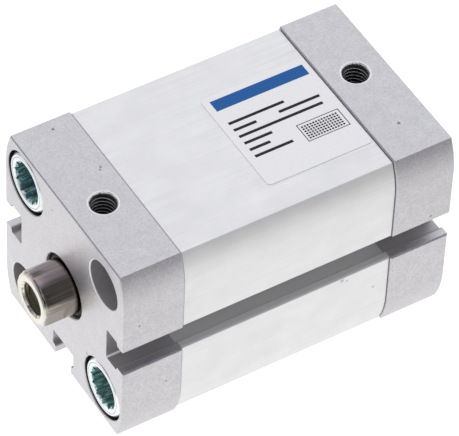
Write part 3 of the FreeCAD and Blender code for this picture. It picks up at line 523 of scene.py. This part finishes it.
# Inner pieces: cushion rings, bearing bush, the piston's two turned discs, its magnet, guide
# ring, washer and nut. Nothing of them shows while the cylinder is whole. Each finish has its
# colour, how metallic and how rough it is, and the size of the patches that vary both.
inner = {
    "polyurethane": ("2B4A7E", 0.0, 0.45, 0.8 * MM, ["front_cushion_ring", "rear_cushion_ring"]),
    "sintered_bronze": ("9C7B4E", 1.0, 0.45, 0.2 * MM, ["rod_bearing_bush"]),
    "turned_aluminium": ("CFCFD2", 1.0, 0.35, 0.15 * MM, ["piston_front_half", "piston_rear_half"]),
    "bonded_ferrite": ("2B2A2A", 0.0, 0.6, 0.1 * MM, ["piston_magnet"]),
    "moulded_polyacetal": ("4A4A48", 0.0, 0.4, 1.5 * MM, ["piston_guide_ring"]),
    "zinc_plated_nut_steel": ("C4C6C6", 1.0, 0.3, 0.4 * MM, ["piston_washer", "piston_nut"]),
}
for name, (code, metallic, roughness, size, parts) in inner.items():
    finish, place = new_material(name)
    cloud = clouds(finish, place, size)
    paler = add(finish, "Math", {0: cloud, 1: 0.2}, operation="MULTIPLY")
    tone = add(finish, "Mix", {0: paler, 6: colour(code), 7: colour("8A8A8A")}, 2, data_type="RGBA")
    shader = add(finish, "BsdfPrincipled", {
        "Base Color": tone, "Metallic": metallic,
        "Roughness": add(finish, "MapRange", {0: cloud, 3: roughness - 0.06, 4: roughness + 0.06}),
    })
    add(finish, "OutputMaterial", {"Surface": shader})
    for part in parts:
        dress(part, finish)

# Rating label: printed polyester film on the barrel. Its print is kept generic: a plain blue
# bar, dark bars for the lines of text, and a framed field of even dots. The film is white,
# smooth and slightly glossy, and the ink on it is matt.
film, place = new_material("polyester_film")
tone = add(film, "Mix", {0: clouds(film, place, 0.5 * MM), 6: colour("F1F1F5"), 7: colour("ECECF1")}, 2,
           data_type="RGBA")
shader = add(film, "BsdfPrincipled", {"Base Color": tone, "Roughness": 0.35, "Coat Weight": 0.2})
add(film, "OutputMaterial", {"Surface": shader})
dress("rating_label", film)

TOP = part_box("rating_label")[1].z
INK = 0.008 * MM


def print_bars(name, code, bars):
    """Thin layer of ink: bars given by their two corners in millimetres."""
    points, faces = [], []
    for x0, y0, x1, y1 in bars:
        base = len(points)
        outline = [(x0, y0), (x1, y0), (x1, y1), (x0, y1)]
        for z in (TOP - INK, TOP + INK):
            points += [(x * MM, y * MM, z) for x, y in outline]
        faces += [(base + 3, base + 2, base + 1, base), (base + 4, base + 5, base + 6, base + 7)]
        for side in range(4):
            after = (side + 1) % 4
            faces.append((base + side, base + after, base + 4 + after, base + 4 + side))
    mesh = bpy.data.meshes.new(name)
    mesh.from_pydata(points, [], faces)
    ink, place = new_material(name + "_ink")
    thin = clouds(ink, place, 0.15 * MM, 0.0, 0.08)
    tone = add(ink, "Mix", {0: thin, 6: colour(code), 7: colour("C0C0C4")}, 2, data_type="RGBA")
    shader = add(ink, "BsdfPrincipled", {"Base Color": tone, "Roughness": 0.5, "Specular IOR Level": 0.1})
    add(ink, "OutputMaterial", {"Surface": shader})
    mesh.materials.append(ink)
    piece = bpy.data.objects.new(name, mesh)
    bpy.context.scene.collection.objects.link(piece)
    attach(piece, "housing")


print_bars("label_bar", "005AA4", [(-51.2, -8.8, -33.0, -6.3)])
rows = [(-33.2, -44.0, -2.9), (-33.2, -37.6, -1.2), (-42.0, -50.0, -1.2), (-33.2, -49.6, 0.5),
        (-33.2, -38.6, 2.2), (-33.2, -37.2, 3.9), (-33.2, -40.6, 5.6)]
HALF_LINE = 0.3
text = [(end, y - HALF_LINE, start, y + HALF_LINE) for start, end, y in rows]
left, right, low, high = -51.0, -42.8, 2.9, 7.1
RULE = 0.15
text += [(left, low, right, low + RULE), (left, high - RULE, right, high),
         (left, low, left + RULE, high), (right - RULE, low, right, high)]
DOT, DOT_PITCH = 0.36, 0.55
for column in range(13):
    for row in range(6):
        x, y = left + 0.7 + DOT_PITCH * column, low + 0.62 + DOT_PITCH * row
        text.append((x, y, x + DOT, y + DOT))
print_bars("label_lines", "0C0C0E", text)

# Studio: a white table in a tent that is bright behind the part and open, so darker, in front,
# and darkest round the viewer. A large soft lamp stands behind on the left, and a weak one in
# front, off the rod's end.
LOW = cad_box[0][2]
WIDE = 3
table = bpy.data.meshes.new("table")
table_corners = [(-WIDE, -WIDE, LOW), (WIDE, -WIDE, LOW), (WIDE, WIDE, LOW), (-WIDE, WIDE, LOW)]
table.from_pydata(table_corners, [], [(0, 1, 2, 3)])
table_piece = bpy.data.objects.new("table", table)
bpy.context.scene.collection.objects.link(table_piece)

# White paper: matt, and plain white but for the part's soft shadow. Metal mirrors it as a glow, a
# painted pool of light, brightest near the part and darker further out.
NEAR, FAR = 0.045, 0.24
paper, place = new_material("white_paper")
seen = add(paper, "LightPath").node.outputs
mirrored = add(paper, "Math", {0: seen["Is Glossy Ray"], 1: seen["Is Transmission Ray"]}, operation="MAXIMUM")
direct = add(paper, "Math", {0: seen["Is Camera Ray"], 1: 0.8}, operation="MULTIPLY")
share = add(paper, "Math", {0: mirrored, 1: direct}, operation="MAXIMUM")
reach = add(paper, "VectorMath", {0: place, 1: (MIDDLE.x, 0, LOW)}, "Value", operation="DISTANCE")
painted_light_pool = add(paper, "MapRange", {0: reach, 1: NEAR, 2: FAR, 3: 1.3, 4: 0.5})
level = add(paper, "Math", {0: painted_light_pool, 1: seen["Is Camera Ray"]}, operation="MAXIMUM")
tint = add(paper, "Mix", {0: seen["Is Camera Ray"], 6: colour("FFFEFD"), 7: colour("FFFFFF")}, 2,
           data_type="RGBA")
matt = add(paper, "BsdfDiffuse", {"Color": colour("FDFDFD")})
glow = add(paper, "Emission", {"Color": tint, "Strength": level})
both = add(paper, "MixShader", {0: share, 1: matt, 2: glow})
add(paper, "OutputMaterial", {"Surface": both})
table.materials.append(paper)

# White cloth, lit from outside: metal mirrors it, paler behind the part and darker in front. The
# camera sees plain white, and the light that it gives to matt surfaces is even.
tent = bpy.data.worlds.new("tent")
bpy.context.scene.world = tent
tent.use_nodes = True
tent.node_tree.nodes.clear()
toward = add(tent, "TexCoord", out="Generated")
FRONT = Vector((0.75, 0.62, 0.25)).normalized()
VIEWER = Vector((0.3, 0.75, 0.6)).normalized()
facing = add(tent, "VectorMath", {0: toward, 1: FRONT}, "Value", operation="DOT_PRODUCT")
opening = add(tent, "MapRange", {0: facing, 1: -0.25, 2: 0.6}, interpolation_type="SMOOTHSTEP")
cloth = add(tent, "Mix", {0: opening, 6: colour("EEEFF4"), 7: colour("8A8296")}, 2, data_type="RGBA")
facing = add(tent, "VectorMath", {0: toward, 1: VIEWER}, "Value", operation="DOT_PRODUCT")
dark = add(tent, "MapRange", {0: facing, 1: 0.45, 2: 0.9}, interpolation_type="SMOOTHSTEP")
cloth = add(tent, "Mix", {0: dark, 6: cloth, 7: colour("0B0A0B")}, 2, data_type="RGBA")
seen = add(tent, "LightPath").node.outputs
inside = add(tent, "Background", {"Color": cloth, "Strength": 1.0})
fill = add(tent, "Background", {"Color": colour("FFFFFF"), "Strength": 0.8})
outside = add(tent, "Background", {"Color": colour("FFFFFF"), "Strength": 1.0})
lit = add(tent, "MixShader", {0: seen["Is Glossy Ray"], 1: fill, 2: inside})
clear = add(tent, "Math", {0: seen["Is Camera Ray"], 1: seen["Is Transmission Ray"]}, operation="MAXIMUM")
whole = add(tent, "MixShader", {0: clear, 1: lit, 2: outside})
add(tent, "OutputWorld", {"Surface": whole})


def lamp(name, position, across, power):
    """Square soft lamp that points at the part's middle."""
    light = bpy.data.lights.new(name, "AREA")
    light.shape = "SQUARE"
    light.size = across
    light.energy = power
    made = bpy.data.objects.new(name, light)
    made.location = position
    made.rotation_euler = (MIDDLE - Vector(position)).to_track_quat("-Z", "Y").to_euler()
    bpy.context.scene.collection.objects.link(made)


lamp("key_lamp", (-0.4, -0.57, 0.74), 0.8, 0.95)
lamp("fill_lamp", (0.85, 0.2, 0.3), 0.5, 0.4)

# Camera: a long lens in front, to the right and above. The distance is from the part's middle, in
# metres, and the focal length and the small shift are in pixels of the photograph's frame.
SHOT = (459, 436)
AZIMUTH, ELEVATION, ROLL = math.radians(146.786), math.radians(47.480), math.radians(2.821)
DISTANCE = 0.704
FOCAL_PIXELS = 4149.488
CENTRE_OFF = (-1.935, -1.103)
flat_share = math.cos(ELEVATION)
back = Vector((math.sin(AZIMUTH) * flat_share, -math.cos(AZIMUTH) * flat_share, math.sin(ELEVATION)))
level = Vector((math.cos(AZIMUTH), math.sin(AZIMUTH), 0))
up = back.cross(level)
turned_right = level * math.cos(ROLL) + up * math.sin(ROLL)
turned_up = up * math.cos(ROLL) - level * math.sin(ROLL)
lens = bpy.data.cameras.new("camera")
lens.sensor_fit = "HORIZONTAL"
lens.sensor_width = 36
lens.lens = FOCAL_PIXELS / SHOT[0] * lens.sensor_width
lens.shift_x = -CENTRE_OFF[0] / SHOT[0]
lens.shift_y = CENTRE_OFF[1] / SHOT[0]
lens.clip_start = 0.01
camera = bpy.data.objects.new("camera", lens)
bpy.context.scene.collection.objects.link(camera)
axes = Matrix((turned_right, turned_up, back)).transposed().to_4x4()
camera.matrix_world = Matrix.Translation(MIDDLE + back * DISTANCE) @ axes
bpy.context.scene.camera = camera
bpy.context.scene.view_settings.view_transform = "Standard"
